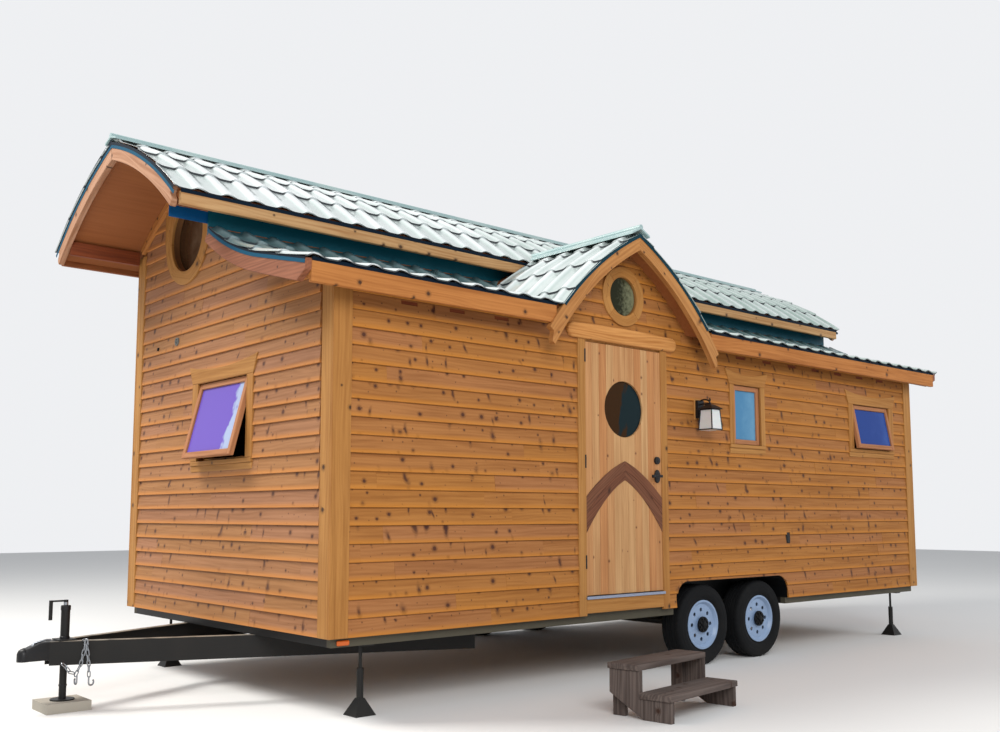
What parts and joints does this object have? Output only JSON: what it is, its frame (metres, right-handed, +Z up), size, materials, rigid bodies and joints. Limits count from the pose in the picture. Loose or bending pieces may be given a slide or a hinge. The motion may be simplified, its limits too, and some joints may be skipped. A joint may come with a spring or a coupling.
{
  "type": "tiny house on a trailer",
  "caption": "Timber tiny house on a two-axle trailer: pointed barrel roof over a flared skirt roof, arched dormer over a swinging door, round and awning windows, step stool.",
  "frame": {"origin": "on the ground under the middle of the whole part's box, step stool and coupler included", "axes": "+Z up, +X from the hitch towards the rear end, -Y out of the wall with the door"},
  "size_m": [8.886, 4.6774, 4.1143],
  "materials": {
    "siding": "lapped knotty boards, clear oil",
    "trim": "planed boards, clear oil",
    "gable_timber": "sawn curved boards, clear oil",
    "soffit": "plywood, clear oil",
    "roof_metal": "pressed tiles, satin",
    "flashing": "satin",
    "door_wood": "upright boards, clear oil",
    "inlay": "dark stain",
    "window_glass": "clear",
    "lantern_glass": "frosted",
    "black_metal": "satin black",
    "bare_steel": "zinc plated",
    "threshold": "satin",
    "tyre": "black",
    "rim": "gloss white",
    "weathered_wood": "weathered",
    "floor": "plywood",
    "plastic": "matt"
  },
  "bodies": {
    "house": {"arch_foot_beams": "gable_timber", "axles": "black_metal", "clerestory_band": "flashing", "clerestory_wall": "siding", "corner_boards": "trim", "corner_stands": "black_metal", "coupler": "black_metal", "crossmembers": "black_metal", "door_casing": "trim", "door_frame": "trim", "door_hinges": "bare_steel", "door_side_wall_front": "siding", "door_side_wall_rear": "siding", "door_threshold": "threshold", "dormer_gable_wall": "siding", "dormer_roof_deck": "soffit", "dormer_roof_metal": "roof_metal", "far_side_wall": "siding", "fascias": "gable_timber", "floor_deck": "floor", "frame_rails": "black_metal", "front_wall": "siding", "gable_boards": "gable_timber", "jack_block": "weathered_wood", "lantern_frame": "black_metal", "lantern_glass": "lantern_glass", "leaf_springs": "black_metal", "rear_wall": "siding", "ridge_caps": "roof_metal", "skirt_roof_deck": "soffit", "skirt_roof_metal": "roof_metal", "step_stool": "weathered_wood", "tongue_beams": "black_metal", "tongue_jack": "black_metal", "upper_roof_deck": "soffit", "upper_roof_metal": "roof_metal", "wall_arch_rafters": "gable_timber", "wall_fittings": "plastic", "wall_trim": "trim", "wheel_wells": "black_metal", "window_frames": "trim", "window_glass": "window_glass", "window_sashes": "trim"},
    "door": {"door_leaf": "door_wood", "door_inlay": "inlay", "door_glass": "window_glass", "door_hardware": "bare_steel"},
    "lever": {"door_lever": "bare_steel"},
    "crank": {"jack_crank": "black_metal"},
    "wheel_front_door_side": {"tyre_front_door_side": "tyre", "rim_front_door_side": "rim"},
    "wheel_front_far_side": {"tyre_front_far_side": "tyre", "rim_front_far_side": "rim"},
    "wheel_rear_door_side": {"tyre_rear_door_side": "tyre", "rim_rear_door_side": "rim"},
    "wheel_rear_far_side": {"tyre_rear_far_side": "tyre", "rim_rear_far_side": "rim"}
  },
  "joints": [
    {"name": "door_swing", "type": "hinge", "parent": "house", "child": "door", "pos_m": [-0.889, -0.97427, 1.6175], "axis": [0, 0, -1], "range_deg": [0, 105]},
    {"name": "lever_turn", "type": "hinge", "parent": "door", "child": "lever", "pos_m": [-0.058, -0.96727, 1.562], "axis": [0, -1, 0], "range_deg": [0, 45], "stiffness_Nm_per_rad": 1.2},
    {"name": "crank_turn", "type": "hinge", "parent": "house", "child": "crank", "pos_m": [-4.152, 0.59173, 0.695], "axis": [0, 0, 1], "continuous": true},
    {"name": "wheel_front_door_side_spin", "type": "hinge", "parent": "house", "child": "wheel_front_door_side", "pos_m": [0.574, -0.82927, 0.335], "axis": [0, 1, 0], "continuous": true},
    {"name": "wheel_front_far_side_spin", "type": "hinge", "parent": "house", "child": "wheel_front_far_side", "pos_m": [0.574, 2.01273, 0.335], "axis": [0, 1, 0], "continuous": true},
    {"name": "wheel_rear_door_side_spin", "type": "hinge", "parent": "house", "child": "wheel_rear_door_side", "pos_m": [1.374, -0.82927, 0.335], "axis": [0, 1, 0], "continuous": true},
    {"name": "wheel_rear_far_side_spin", "type": "hinge", "parent": "house", "child": "wheel_rear_far_side", "pos_m": [1.374, 2.01273, 0.335], "axis": [0, 1, 0], "continuous": true}
  ]
}
